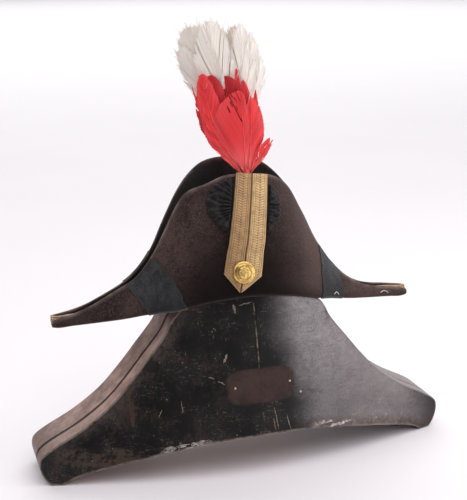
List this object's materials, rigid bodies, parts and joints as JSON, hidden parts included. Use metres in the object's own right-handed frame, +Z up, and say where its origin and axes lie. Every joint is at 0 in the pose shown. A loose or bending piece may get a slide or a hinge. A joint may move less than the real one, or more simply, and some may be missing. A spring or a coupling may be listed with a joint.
{
  "type": "cocked hat on its tin hat box",
  "caption": "Folded-brim felt cocked hat with ribbons, cockade, gold lace loop, button, plume and bullion tassels, standing on its arched black tin hat box.",
  "frame": {"origin": "on the floor under the middle of the tin box", "axes": "+X to the right as seen from the front, -Y the front with the cockade and lace, +Z up"},
  "size_m": [0.48, 0.152, 0.4874],
  "materials": {
    "felt": "worn beaver felt, brown-black",
    "ribbon": "blue-black ribbed silk",
    "silk": "black gathered silk",
    "lace": "antique gold metal lace",
    "gilt": "bright gilding",
    "red_feather": "soft dyed feather",
    "white_feather": "soft natural feather",
    "bullion": "tarnished twisted gold thread",
    "japan": "worn black japan on tinned sheet"
  },
  "bodies": {
    "root": {"brim": "felt", "crown": "felt", "ribbon_front_left": "ribbon", "ribbon_rear_left": "ribbon", "ribbon_front_right": "ribbon", "ribbon_rear_right": "ribbon", "cockade": "silk", "lace_loop": "lace", "button": "gilt", "plume_red": "red_feather", "plume_white": "white_feather", "tassel_left": "bullion", "tassel_right": "bullion", "box_front": "japan", "box_rear": "japan"}
  },
  "joints": []
}
